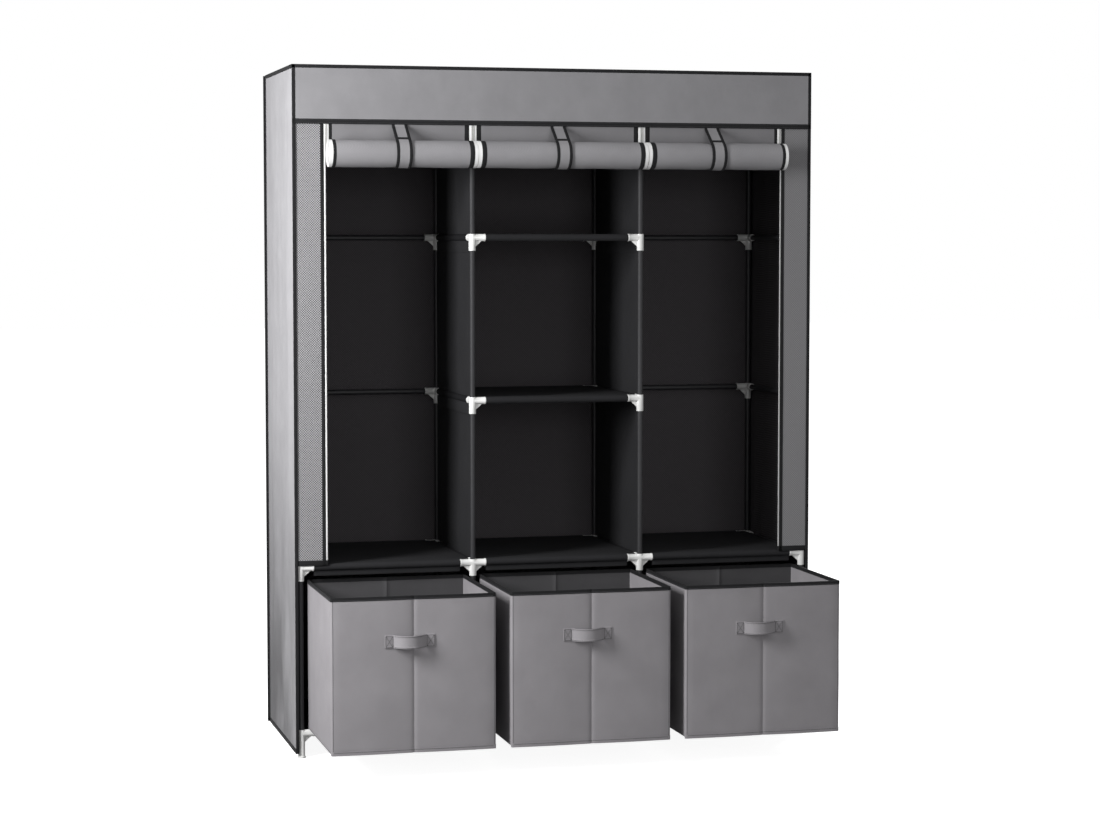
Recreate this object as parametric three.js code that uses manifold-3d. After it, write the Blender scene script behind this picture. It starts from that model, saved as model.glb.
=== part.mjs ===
// A portable fabric wardrobe: a frame of steel tubes in plastic connectors, three bays wide, under a
// cloth cover whose three doors are rolled up, with cloth shelves and three pull-out fabric bins.
// Millimetres, +Z up, the front faces -Y. The frame is laid out with the cover's front at y = 0 and
// the floor at z = 0, and the whole group is then moved so that its origin is the bottom's centre.

import * as THREE from "three";
import { mergeVertices } from "three/addons/utils/BufferGeometryUtils.js";
import Module from "manifold-3d";

const wasm = await Module();
wasm.setup();

// Overall sizes of the cover
const width = 1300;
const depth = 443;
const height = 1658;
const cloth = 1.0;
const coverClearance = 12; // from the floor to the cover's lower edge
const headerDrop = 139;
const stripLift = 5; // of the front strips' lower edge above the first level
const zipInset = 80; // from the cover's side to the zip between a strip and its door

// The frame of tubes
const gap = 0.3;
const cut = 5; // how far a cutter runs past what it cuts
const tubeRadius = 6.5;
const tubeWall = 0.8;
const sideInset = 14.9; // from the cover's side to a column's axis
const faceInset = 12.8; // from the cover's front or back to a column's axis
const topInset = 13; // from the cover's top to the top rails' axes
const bottomRail = 60;
const firstLevel = 460;

// Connectors
const socketWall = 1.7;
const armReach = 32;
const socketDrop = 32;
const railSeat = 11; // from a column's axis to the end of a rail held in an arm
const webThick = 3;
const webReach = 22;
const webDrop = 22;
const footSpread = 1.6;
const footThick = 4;

// Cloth shelves, divider panels and hanging rods
const shelfCloth = 1.6;
const hemDrop = 12;
const hemThick = 2.4;
const rodRadius = 8;
const rodSocketReach = 24;
const rodSocketWall = 2.2;

// Doors
const rollRadius = 34.5;
const rollCore = 9;
const rollPitch = 3.4;
const rollDrop = 70; // from the header's lower edge to the roll's axis
const doorGap = 2.6; // between two doors' rolls
const strapWidth = 38;
const strapTop = 11; // how far a strap runs up behind the header
const strapLead = 3; // how far it hangs straight below the header
const strapLeave = Math.PI / 6; // how far below the roll's rear the strap leaves it
const turnUpShare = 0.33; // of the roll's radius, below its axis, where the strap turns upright

// Bins
const binSideRoom = 18.2; // from a bin's side to the columns' plane
const binRearRoom = 105; // what a pushed-in bin leaves of the cover's depth
const binHeadroom = 31.2; // from a bin's rim to the first level
const binHold = 28; // how much of a pulled-out bin is still behind the cover's front
const binWall = 2.6;
const rimHeight = 8;
const rimThick = 0.6;
const boardThick = 3;
const handleLength = 118;
const handleHeight = 30;
const handleThick = 2;
const handlePatch = 21;
const handleBulge = 22;
const handleDrop = 104; // from the rim to the handle's middle
const handleShift = 10; // how far it is sewn to the left of the bin's middle

// Counts
const bayCount = 3;
const levelCount = 3;
const sides = 8;
const rollSteps = 16; // to a turn
const strapSteps = 16;
const handleSteps = 10;

const xAxis = new THREE.Vector3(1, 0, 0);
const yAxis = new THREE.Vector3(0, 1, 0);
const zAxis = new THREE.Vector3(0, 0, 1);

// Sizes worked out from those
const socketRadius = tubeRadius + gap + socketWall;
const socketRise = socketRadius;
const pitch = (width - 2 * sideInset) / bayCount;
const frontRow = faceInset;
const rearRow = depth - faceInset;
const topRail = height - topInset;
const levelPitch = (topRail - firstLevel) / levelCount;
const levels = Array.from({ length: levelCount }, (_, i) => firstLevel + i * levelPitch);
const roof = height - cloth; // the top panel's lower face
const ceiling = roof - gap;
const columns = Array.from({ length: bayCount + 1 }, (_, i) => (i - bayCount / 2) * pitch);
const bays = columns.slice(1).map((x) => x - pitch / 2);
const lastColumn = columns[bayCount];
const strapFace = cloth + gap; // front face of the straps' upper ends, behind the header
const doorFace = strapFace + cloth + gap; // front face of the doors and strips, behind the straps
const sleeveRadius = tubeRadius + gap + shelfCloth;
const headerEdge = height - headerDrop;
const rollHeight = headerEdge - rollDrop;
const stripEnd = firstLevel + stripLift;
const binFloor = bottomRail + socketRadius + gap;
const binWidth = pitch - 2 * binSideRoom;
const binDepth = depth - binRearRoom;
const binHeight = firstLevel - binHeadroom - binFloor;
const binPulled = binDepth - binHold; // how far a bin's front stands before the cover's front

// Colours
const lightGrey = 0xa6a6a9;
const grey = 0x7d7d80;
const black = 0x1c1c1e;
const white = 0xe9e9e6;
const tubeBlack = 0x262628;
const rodGrey = 0x9a9a9c;

const materials = {
  sidePanel: new THREE.MeshStandardMaterial({ color: lightGrey, roughness: 0.85, metalness: 0 }),
  cover: new THREE.MeshStandardMaterial({ color: grey, roughness: 0.85, metalness: 0 }),
  blackCloth: new THREE.MeshStandardMaterial({ color: black, roughness: 0.9, metalness: 0 }),
  connector: new THREE.MeshStandardMaterial({ color: white, roughness: 0.4, metalness: 0 }),
  tube: new THREE.MeshStandardMaterial({ color: tubeBlack, roughness: 0.35, metalness: 0.6 }),
  rod: new THREE.MeshStandardMaterial({ color: rodGrey, roughness: 0.35, metalness: 0.8 }),
  board: new THREE.MeshStandardMaterial({ color: black, roughness: 0.8, metalness: 0 }),
};

const wardrobe = new THREE.Group();

function add(name, geometry, material, x, y, z) {
  const mesh = new THREE.Mesh(geometry, material);
  mesh.name = name;
  mesh.position.set(x, y, z);
  wardrobe.add(mesh);
  return mesh;
}

// Solids for joining and cutting

function solid(geometry) {
  const bare = geometry.clone();
  bare.deleteAttribute("normal");
  bare.deleteAttribute("uv");
  const merged = mergeVertices(bare);
  return new wasm.Manifold(
    new wasm.Mesh({
      numProp: 3,
      vertProperties: merged.attributes.position.array,
      triVerts: new Uint32Array(merged.index.array),
    }),
  );
}

function geometryOf(made) {
  const mesh = made.getMesh();
  const geometry = new THREE.BufferGeometry();
  geometry.setAttribute("position", new THREE.BufferAttribute(mesh.vertProperties, 3));
  geometry.setIndex(new THREE.BufferAttribute(mesh.triVerts, 1));
  geometry.computeVertexNormals();
  return geometry;
}

const join = (solids) => solids.reduce((whole, next) => whole.add(next));
const cutAll = (whole, cutters) => cutters.reduce((left, cutter) => left.subtract(cutter), whole);

// A round bar along an axis, from one distance to the other, with its axis through the point.
function bar(axis, radius, from, to, through = new THREE.Vector3()) {
  const length = Math.abs(to - from);
  const geometry = new THREE.CylinderGeometry(radius, radius, length, sides);
  const turn = new THREE.Quaternion().setFromUnitVectors(yAxis, axis);
  geometry.applyQuaternion(turn);
  const middle = axis.clone().multiplyScalar((from + to) / 2);
  middle.add(through);
  geometry.translate(middle.x, middle.y, middle.z);
  return solid(geometry);
}

// A box between two corners.
function block(low, high) {
  const size = high.map((value, i) => value - low[i]);
  const geometry = new THREE.BoxGeometry(...size);
  geometry.translate(...low.map((value, i) => value + size[i] / 2));
  return geometry;
}

// An outline of [x, y] points extruded upwards, centred on z = 0.
function slab(outline, thickness) {
  const shape = new THREE.Shape(outline.map(([x, y]) => new THREE.Vector2(x, y)));
  const geometry = new THREE.ExtrudeGeometry(shape, { depth: thickness, bevelEnabled: false });
  geometry.translate(0, 0, -thickness / 2);
  return geometry;
}

// An outline of [y, z] points extruded along X, centred on x = 0.
function section(outline, length) {
  const geometry = slab(outline, length);
  geometry.applyMatrix4(new THREE.Matrix4().makeBasis(yAxis, zAxis, xAxis));
  return geometry;
}

// A round tube along an axis, open at both ends.
function pipe(axis, radius, from, to) {
  const bore = bar(axis, radius - tubeWall, from - cut, to + cut);
  return bar(axis, radius, from, to).subtract(bore);
}

// Connectors. Each is made round its column's axis, with the rails' axes at z = 0. An arm is a
// direction along X or Y. A web stiffens each arm along X from below.
const directions = {
  left: xAxis.clone().negate(),
  right: xAxis,
  front: yAxis.clone().negate(),
  rear: yAxis,
};
const webSides = { left: -1, right: 1 };

function web(side) {
  const root = socketRadius - socketWall / 2;
  const outline = [
    [root, -socketRadius / 2],
    [webReach, -socketRadius / 2],
    [webReach, -socketRadius],
    [root, -webDrop],
  ];
  const plate = slab(outline, webThick);
  plate.applyMatrix4(new THREE.Matrix4().makeBasis(xAxis, zAxis, directions.front));
  const made = solid(plate);
  return side > 0 ? made : made.mirror([1, 0, 0]);
}

function connectorBody(arms, at, drop = socketDrop, rise = socketRise) {
  const parts = [bar(zAxis, socketRadius, -drop, rise)];
  for (const arm of arms) {
    parts.push(bar(directions[arm], socketRadius, 0, armReach));
    if (webSides[arm]) {
      parts.push(web(webSides[arm]));
    }
  }
  return join(parts).translate([at.x, at.y, at.z]);
}

const sleeveBore = (at, drop = socketDrop + cut, rise = socketRise + cut) =>
  bar(zAxis, tubeRadius + gap, -drop, rise).translate([at.x, at.y, at.z]);

// Front connectors of the levels, which show in white: the rails end in their arms.
function frontConnector(arms) {
  const origin = new THREE.Vector3();
  const bores = arms.map((arm) =>
    bar(directions[arm], tubeRadius + gap, railSeat - gap, armReach + cut),
  );
  return geometryOf(cutAll(connectorBody(arms, origin), [sleeveBore(origin), ...bores]));
}

const columnNames = ["left_outer", "left_inner", "right_inner", "right_outer"];

// The arms along X of a column's connector.
function armsAcross(column) {
  const arms = [];
  if (column > 0) {
    arms.push("left");
  }
  if (column < bayCount) {
    arms.push("right");
  }
  return arms;
}

function addFrontConnectors() {
  columnNames.forEach((name, i) => {
    const geometry = frontConnector([...armsAcross(i), "rear"]);
    add(`level_1_${name}_connector`, geometry, materials.connector, columns[i], frontRow, levels[0]);
  });
  levels.slice(1).forEach((level, i) => {
    const label = `level_${i + 2}`;
    const rightwards = frontConnector(["right", "rear"]);
    const leftwards = frontConnector(["left", "rear"]);
    const [, leftInner, rightInner] = columns;
    add(`${label}_left_inner_connector`, rightwards, materials.connector, leftInner, frontRow, level);
    add(`${label}_right_inner_connector`, leftwards, materials.connector, rightInner, frontRow, level);
  });
}

// Uprights, each one tube from its foot to the top
function addUprights() {
  const foot = footThick + gap;
  const length = topRail + tubeRadius - foot;
  const geometry = geometryOf(pipe(zAxis, tubeRadius, 0, length));
  columnNames.forEach((name, i) => {
    add(`front_${name}_upright`, geometry, materials.tube, columns[i], frontRow, foot);
    add(`rear_${name}_upright`, geometry, materials.tube, columns[i], rearRow, foot);
  });
}

// Rails that are joined to the connectors at their ends. A rail's bore opens into the sleeves.
const across = (radius, y) => bar(xAxis, radius, columns[0], lastColumn).translate([0, y, 0]);
const railBore = tubeRadius - tubeWall;

function depthRail(x, from, radius) {
  return bar(yAxis, radius, from, rearRow, new THREE.Vector3(x, 0, 0));
}

// Rear and side rails of one level, open at the front. At the first level the side rails end in the
// front connectors' arms; above, their front connectors belong to this piece. The inner columns' arms
// take the ends of the divider panels' rails.
function levelFrame(frontFrom, withFront) {
  const parts = [across(tubeRadius, rearRow)];
  const bores = [across(railBore, rearRow)];
  columns.forEach((x, i) => {
    const at = new THREE.Vector3(x, rearRow, 0);
    parts.push(connectorBody([...armsAcross(i), "front"], at));
    bores.push(sleeveBore(at));
    if (x !== columns[0] && x !== lastColumn) {
      const bore = bar(directions.front, tubeRadius + gap, railSeat - gap, armReach + cut);
      bores.push(bore.translate([x, rearRow, 0]));
    }
  });
  for (const x of [columns[0], lastColumn]) {
    const overrun = withFront ? 0 : cut;
    parts.push(depthRail(x, frontFrom, tubeRadius));
    bores.push(depthRail(x, frontFrom - overrun, railBore));
    if (withFront) {
      const corner = new THREE.Vector3(x, frontRow, 0);
      parts.push(connectorBody(["rear"], corner));
      bores.push(sleeveBore(corner));
    }
  }
  return geometryOf(cutAll(join(parts), bores));
}

function addLevelFrames() {
  const inArm = frontRow + railSeat;
  add("level_1_rear_frame", levelFrame(inArm, false), materials.tube, 0, 0, levels[0]);
  add("level_2_rear_frame", levelFrame(frontRow, true), materials.tube, 0, 0, levels[1]);
  add("level_3_rear_frame", levelFrame(frontRow, true), materials.tube, 0, 0, levels[2]);
}

// The bottom frame stands on its feet. Its front rails are in the bottom shelves' front sleeves.
function bottomFrame() {
  const parts = [across(tubeRadius, rearRow)];
  const bores = [across(railBore, rearRow)];
  columns.forEach((x, i) => {
    parts.push(depthRail(x, frontRow, tubeRadius));
    bores.push(depthRail(x, frontRow, railBore));
    for (const y of [frontRow, rearRow]) {
      const at = new THREE.Vector3(x, y, 0);
      const inward = y === frontRow ? "rear" : "front";
      const foot = bar(zAxis, socketRadius + footSpread, -bottomRail, footThick - bottomRail);
      parts.push(connectorBody([...armsAcross(i), inward], at, bottomRail));
      parts.push(foot.translate([x, y, 0]));
      bores.push(sleeveBore(at, bottomRail - footThick));
    }
    for (const arm of armsAcross(i)) {
      const bore = bar(directions[arm], tubeRadius + gap, railSeat - gap, armReach + cut);
      bores.push(bore.translate([x, frontRow, 0]));
    }
  });
  return geometryOf(cutAll(join(parts), bores));
}

// The top frame has rails all round and over the dividers, closed caps that carry the cover, and the
// sockets of the hanging rods at mid depth.
const rodSocketRadius = rodRadius + gap + rodSocketWall;
const rodRow = depth / 2;
const rodBays = [bays[0], bays[bayCount - 1]];

function topFrame() {
  const cap = ceiling - topRail;
  const parts = [];
  const bores = [];
  for (const y of [frontRow, rearRow]) {
    parts.push(across(tubeRadius, y));
    bores.push(across(railBore, y));
  }
  columns.forEach((x, i) => {
    parts.push(depthRail(x, frontRow, tubeRadius));
    bores.push(depthRail(x, frontRow, railBore));
    for (const y of [frontRow, rearRow]) {
      const at = new THREE.Vector3(x, y, 0);
      const inward = y === frontRow ? "rear" : "front";
      parts.push(connectorBody([...armsAcross(i), inward], at, socketDrop, cap));
      bores.push(sleeveBore(at, socketDrop + cut, tubeRadius + gap));
    }
  });
  for (const bay of rodBays) {
    for (const side of [-1, 1]) {
      const column = bay + (side * pitch) / 2;
      const inward = side < 0 ? directions.right : directions.left;
      const socket = bar(inward, rodSocketRadius, 0, rodSocketReach);
      const bore = bar(inward, rodRadius + gap, tubeRadius + gap, rodSocketReach + cut);
      parts.push(socket.translate([column, rodRow, 0]));
      bores.push(bore.translate([column, rodRow, 0]));
    }
  }
  return geometryOf(cutAll(join(parts), bores));
}

function addHangingRods() {
  const end = pitch / 2 - tubeRadius - 2 * gap;
  const geometry = geometryOf(pipe(xAxis, rodRadius, -end, end));
  ["left", "right"].forEach((name, i) => {
    add(`${name}_hanging_rod`, geometry, materials.rod, rodBays[i], rodRow, topRail);
  });
}

// A cloth shelf with its front rail inside its front sleeve. Its sheet passes over the rear rail and
// is folded down behind it. Its sides reach to the connectors and stay clear of their arms.
function shelf(withHem) {
  const railEnd = pitch / 2 - railSeat;
  const sleeveEnd = pitch / 2 - armReach - gap;
  const sideEnd = pitch / 2 - socketRadius - gap;
  const front = new THREE.Vector3(0, frontRow, 0);
  const rail = bar(xAxis, tubeRadius, -railEnd, railEnd, front);
  const sleeve = bar(xAxis, sleeveRadius, -sleeveEnd, sleeveEnd, front);
  const bore = bar(xAxis, railBore, -railEnd - cut, railEnd + cut, front);
  const low = tubeRadius + gap;
  const armClear = socketRadius + gap;
  const sheet = block([-sleeveEnd, frontRow, low], [sleeveEnd, rearRow + sleeveRadius, sleeveRadius]);
  const ears = block(
    [-sideEnd, frontRow + armClear, low],
    [sideEnd, rearRow - armClear, sleeveRadius],
  );
  const fold = block(
    [-sleeveEnd, rearRow + low, -tubeRadius],
    [sleeveEnd, rearRow + sleeveRadius, sleeveRadius],
  );
  const parts = [rail, sleeve, solid(sheet), solid(ears), solid(fold)];
  if (withHem) {
    const hem = block(
      [-sleeveEnd, frontRow - hemThick / 2, -sleeveRadius - hemDrop],
      [sleeveEnd, frontRow + hemThick / 2, -tubeRadius],
    );
    parts.push(solid(hem));
  }
  return geometryOf(join(parts).subtract(bore));
}

function addShelves() {
  const plain = shelf(false);
  const hemmed = shelf(true);
  ["left", "middle", "right"].forEach((name, i) => {
    add(`${name}_bottom_shelf`, plain, materials.blackCloth, bays[i], 0, bottomRail);
    add(`${name}_shelf_level_1`, hemmed, materials.blackCloth, bays[i], 0, levels[0]);
  });
  add("middle_shelf_level_2", plain, materials.blackCloth, bays[1], 0, levels[1]);
  add("middle_shelf_level_3", plain, materials.blackCloth, bays[1], 0, levels[2]);
}

// The divider panels stand both sides of the middle bay, under the top frame's rails. Each is held at
// every level by a sleeve with a depth rail inside, and is cut out round the connectors' arms.
function dividerPanel() {
  const top = topRail - rodSocketRadius - gap;
  const clear = socketRadius + gap;
  const panel = block(
    [-shelfCloth / 2, frontRow + clear, levels[0]],
    [shelfCloth / 2, rearRow - clear, top],
  );
  const parts = [solid(panel)];
  const cutters = [];
  for (const level of levels) {
    const at = new THREE.Vector3(0, 0, level);
    const sleeveFrom = frontRow + armReach + gap;
    const sleeveTo = rearRow - armReach - gap;
    parts.push(bar(yAxis, sleeveRadius, sleeveFrom, sleeveTo, at));
    for (const [from, to] of [[frontRow, sleeveFrom], [sleeveTo, rearRow]]) {
      cutters.push(solid(block([-clear, from, level - clear], [clear, to, level + clear])));
    }
  }
  const rails = levels.map((level) => {
    const at = new THREE.Vector3(0, 0, level);
    return bar(yAxis, tubeRadius, frontRow + railSeat, rearRow - railSeat, at);
  });
  const bores = levels.map((level) => bar(yAxis, railBore, 0, depth, new THREE.Vector3(0, 0, level)));
  return geometryOf(cutAll(join([cutAll(join(parts), cutters), ...rails]), bores));
}

function addDividers() {
  const panel = dividerPanel();
  add("left_divider_panel", panel, materials.blackCloth, columns[1], 0, 0);
  add("right_divider_panel", panel, materials.blackCloth, columns[2], 0, 0);
}

// The cover's flat panels. The header is the outermost layer of the front.
const half = width / 2;
const panelFront = cloth + gap;
const panelBack = depth - cloth - gap;

function addCover() {
  const top = block([-half, panelFront, roof], [half, panelBack, height]);
  const back = block([-half, depth - cloth, coverClearance], [half, depth, height]);
  const side = block([0, panelFront, coverClearance], [cloth, panelBack, ceiling]);
  const header = block([-half, 0, headerEdge], [half, cloth, height]);
  add("cover_top", top, materials.cover, 0, 0, 0);
  add("cover_back", back, materials.blackCloth, 0, 0, 0);
  add("cover_left_side", side, materials.sidePanel, -half, 0, 0);
  add("cover_right_side", side, materials.cover, half - cloth, 0, 0);
  add("cover_header_flap", header, materials.cover, 0, 0, 0);
  const stripWidth = zipInset - cloth - gap;
  const strip = block([0, doorFace, stripEnd], [stripWidth, doorFace + cloth, ceiling]);
  add("cover_left_front_strip", strip, materials.cover, -half + cloth + gap, 0, 0);
  add("cover_right_front_strip", strip, materials.cover, half - zipInset, 0, 0);
}

// Doors. Each roll is one spiral of cloth whose outer end hangs down to it behind the straps.
const rollRow = doorFace - gap - rollRadius;
const rollTurns = (rollRadius - rollCore) / rollPitch;

function spiralPoints(offset) {
  const count = Math.round(rollTurns * rollSteps);
  const points = [];
  for (let i = 0; i <= count; i += 1) {
    const angle = (2 * Math.PI * i) / rollSteps;
    const radius = rollRadius - offset - (rollPitch * i) / rollSteps;
    points.push([radius * Math.cos(angle), -radius * Math.sin(angle)]);
  }
  return points;
}

function rollSection() {
  const outer = spiralPoints(0);
  const inner = spiralPoints(cloth);
  return [...outer.reverse(), ...inner];
}

// Least distance between one turn's inner face and the next turn's outer face, on points.
function leastRollGap() {
  const outer = spiralPoints(0);
  const inner = spiralPoints(cloth);
  let least = Infinity;
  inner.forEach(([x, y], i) => {
    const point = new THREE.Vector3(x, y, 0);
    for (let j = i + rollSteps / 2; j < outer.length - 1; j += 1) {
      const start = new THREE.Vector3(...outer[j], 0);
      const end = new THREE.Vector3(...outer[j + 1], 0);
      const nearest = new THREE.Vector3();
      new THREE.Line3(start, end).closestPointToPoint(point, true, nearest);
      least = Math.min(least, nearest.distanceTo(point));
    }
  });
  return least;
}

const rollGap = leastRollGap();
console.log(`least gap between the turns of a rolled door: ${rollGap.toFixed(2)} mm`);

// A strap's line in [y, z], from behind the header over the roll's front and up behind the sheet.
function strapLine() {
  const loop = rollRadius + gap + cloth / 2;
  const frontLeg = strapFace + cloth / 2;
  const rearLeg = doorFace + cloth + gap + cloth / 2;
  const leave = headerEdge - strapLead - rollHeight;
  const away = frontLeg - rollRow;
  const reach = Math.hypot(away, leave);
  const start = Math.atan2(leave, away) + Math.acos(loop / reach);
  const end = 2 * Math.PI - strapLeave;
  const points = [
    [frontLeg, headerEdge + strapTop],
    [frontLeg, rollHeight + leave],
  ];
  for (let i = 0; i <= strapSteps; i += 1) {
    const angle = start + ((end - start) * i) / strapSteps;
    points.push([rollRow + loop * Math.cos(angle), rollHeight + loop * Math.sin(angle)]);
  }
  points.push([rearLeg, rollHeight - loop * turnUpShare]);
  points.push([rearLeg, headerEdge + strapTop]);
  return points;
}

// The outline of a band of a thickness round a line of points.
function band(line, thickness) {
  const normals = line.map((point, i) => {
    const before = line[Math.max(i - 1, 0)];
    const after = line[Math.min(i + 1, line.length - 1)];
    const way = new THREE.Vector2(after[0] - before[0], after[1] - before[1]).normalize();
    return new THREE.Vector2(-way.y, way.x);
  });
  const moved = (side) => {
    const far = (side * thickness) / 2;
    return line.map(([x, y], i) => [x + normals[i].x * far, y + normals[i].y * far]);
  };
  return [...moved(1), ...moved(-1).reverse()];
}

function addDoors() {
  const zip = half - zipInset - gap;
  const between = pitch / 2;
  const spans = [
    ["left", -zip, -between - doorGap / 2],
    ["middle", -between + doorGap / 2, between - doorGap / 2],
    ["right", between + doorGap / 2, zip],
  ];
  const strap = section(band(strapLine(), cloth), strapWidth);
  for (const [name, from, to] of spans) {
    const middle = (from + to) / 2;
    const long = to - from;
    const roll = section(rollSection(), long);
    const sheet = block([-long / 2, 0, rollHeight], [long / 2, cloth, ceiling]);
    add(`${name}_door_roll`, roll, materials.cover, middle, rollRow, rollHeight);
    add(`${name}_door_sheet`, sheet, materials.cover, middle, doorFace, 0);
    add(`${name}_roll_strap`, strap, materials.blackCloth, middle, 0, 0);
  }
}

// Bins, pulled out as in use, on the bottom shelves
function binShell() {
  const w = binWidth / 2;
  const outer = block([-w, 0, 0], [w, binDepth, binHeight]);
  const rim = block(
    [-w - rimThick, -rimThick, binHeight - rimHeight],
    [w + rimThick, binDepth + rimThick, binHeight],
  );
  const inside = block(
    [-w + binWall, binWall, binWall],
    [w - binWall, binDepth - binWall, binHeight + cut],
  );
  return geometryOf(solid(outer).add(solid(rim)).subtract(solid(inside)));
}

// The handle's outline in [x, y]: flat patches at its ends and a raised stretch between them.
function handleLine() {
  const flat = handleLength / 2 - handlePatch;
  const points = [[-handleLength / 2, 0]];
  for (let i = 0; i <= handleSteps; i += 1) {
    const share = (2 * i) / handleSteps - 1;
    points.push([flat * share, (-handleBulge * (1 + Math.cos(Math.PI * share))) / 2]);
  }
  points.push([handleLength / 2, 0]);
  return points;
}

function addBins() {
  const shell = binShell();
  const edge = binWall + gap;
  const board = block(
    [-binWidth / 2 + edge, edge, 0],
    [binWidth / 2 - edge, binDepth - edge, boardThick],
  );
  const handle = slab(band(handleLine(), handleThick), handleHeight);
  const handleRow = -binPulled - gap - handleThick / 2;
  ["left", "middle", "right"].forEach((name, i) => {
    const x = bays[i];
    add(`${name}_bin`, shell, materials.cover, x, -binPulled, binFloor);
    add(`${name}_bin_base_board`, board, materials.board, x, -binPulled, binFloor + binWall + gap);
    const handleMiddle = binFloor + binHeight - handleDrop;
    add(`${name}_bin_handle`, handle, materials.cover, x - handleShift, handleRow, handleMiddle);
  });
}

addCover();
addDoors();
addBins();
addShelves();
addDividers();
addHangingRods();
addUprights();
addFrontConnectors();
addLevelFrames();
add("bottom_frame", bottomFrame(), materials.tube, 0, 0, bottomRail);
add("top_frame", topFrame(), materials.tube, 0, 0, topRail);

// The origin is the middle of the whole, handles included, on the floor.
const foremost = -binPulled - gap - handleThick - handleBulge;
wardrobe.position.y = -(foremost + depth) / 2;

const part = new THREE.Group();
part.add(wardrobe);

export default part;
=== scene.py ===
import math
from bisect import bisect_left

import bpy
from mathutils import Matrix, Vector
from mathutils import noise as cloth_noise


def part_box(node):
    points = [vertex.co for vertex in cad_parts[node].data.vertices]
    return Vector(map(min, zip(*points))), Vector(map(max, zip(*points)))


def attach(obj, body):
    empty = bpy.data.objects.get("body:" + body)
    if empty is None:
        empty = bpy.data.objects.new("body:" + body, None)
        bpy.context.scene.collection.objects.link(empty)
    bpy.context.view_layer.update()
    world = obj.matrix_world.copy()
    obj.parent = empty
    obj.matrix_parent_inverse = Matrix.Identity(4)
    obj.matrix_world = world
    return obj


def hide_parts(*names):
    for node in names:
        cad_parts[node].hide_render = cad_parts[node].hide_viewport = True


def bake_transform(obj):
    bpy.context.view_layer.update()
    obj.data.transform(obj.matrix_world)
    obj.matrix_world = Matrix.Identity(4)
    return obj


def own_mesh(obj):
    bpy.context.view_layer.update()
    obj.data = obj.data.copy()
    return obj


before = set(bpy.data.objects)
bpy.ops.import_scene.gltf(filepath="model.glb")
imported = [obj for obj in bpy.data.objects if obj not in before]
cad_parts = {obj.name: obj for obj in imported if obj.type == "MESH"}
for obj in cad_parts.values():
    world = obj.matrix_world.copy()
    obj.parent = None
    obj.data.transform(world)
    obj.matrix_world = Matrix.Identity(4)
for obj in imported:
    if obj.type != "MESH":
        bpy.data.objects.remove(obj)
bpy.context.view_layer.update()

# Camera and studio. The wardrobe is seen from the left with a long lens, on a white floor. A tall soft
# lamp stands at its left front corner, so the fronts darken to the right. A wide weak one far in front
# reaches into the shelves, and the third lights the back for the other views.
eye = (-1.5811, -6.1010, 1.2441)
heading = math.radians(-14.47)
tilt = math.radians(-3.84)
level_view = math.radians(90)
bpy.ops.object.camera_add(location=eye, rotation=(level_view + tilt, 0, heading))
camera = bpy.context.object
camera.data.lens = 83.9
camera.data.sensor_width = 36.0
bpy.context.scene.camera = camera
bpy.context.scene.view_settings.view_transform = "Standard"

room_light = 0.44
floor_size = 60.0
floor_bounce = 0.16
floor_glow = 0.92
floor_diffuse = 0.62


def node(tree, kind, inputs=(), **settings):
    """One shader node. Its inputs are values or other nodes' outputs, by name or in order."""
    made = tree.nodes.new("ShaderNode" + kind)
    for name, value in settings.items():
        setattr(made, name, value)
    for name, value in inputs.items() if isinstance(inputs, dict) else enumerate(inputs):
        if isinstance(value, bpy.types.NodeSocket):
            tree.links.new(value, made.inputs[name])
        elif value is not None:
            made.inputs[name].default_value = value
    return made


def given(tree, kind, inputs=(), **settings):
    """The first output of a new node."""
    return node(tree, kind, inputs, **settings).outputs[0]


def calc(tree, operation, *inputs):
    return given(tree, "Math", inputs, operation=operation)


def emptied(owner):
    """The owner's node tree, without its first nodes."""
    owner.use_nodes = True
    owner.node_tree.nodes.clear()
    return owner.node_tree


def grey(shade):
    return (shade, shade, shade, 1)


def seen_directly(tree):
    """1 for the rays that see the background, straight or in a reflection, and 0 for light."""
    path = node(tree, "LightPath").outputs
    mirrored = calc(tree, "MAXIMUM", path["Is Glossy Ray"], path["Is Transmission Ray"])
    return calc(tree, "MAXIMUM", path["Is Camera Ray"], mirrored)


room = bpy.data.worlds.new("white_room")
bpy.context.scene.world = room
tree = emptied(room)
lighting = given(tree, "Background", {"Strength": room_light, "Color": grey(1)})
white_wall = given(tree, "Background", {"Strength": 1.0, "Color": grey(1)})
node(tree, "OutputWorld", [given(tree, "MixShader", [seen_directly(tree), lighting, white_wall])])

bpy.ops.mesh.primitive_plane_add(size=floor_size)
floor = bpy.context.object
floor.name = "studio_floor"
floor_finish = bpy.data.materials.new("white_floor")
floor.data.materials.append(floor_finish)
tree = emptied(floor_finish)
plain = given(tree, "BsdfDiffuse", {"Color": grey(floor_bounce)})
pale = given(tree, "BsdfDiffuse", {"Color": grey(floor_diffuse)})
white_floor = given(tree, "AddShader", [pale, given(tree, "Emission", {"Strength": floor_glow})])
node(tree, "OutputMaterial", [given(tree, "MixShader", [seen_directly(tree), plain, white_floor])])


def soft_lamp(name, place, aim, width, height, power):
    bpy.ops.object.light_add(type="AREA", location=place)
    lamp = bpy.context.object
    lamp.name = name
    lamp.rotation_euler = (Vector(aim) - Vector(place)).to_track_quat("-Z", "Y").to_euler()
    lamp.data.shape = "RECTANGLE"
    lamp.data.size = width
    lamp.data.size_y = height
    lamp.data.energy = power
    lamp.visible_camera = False


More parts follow.
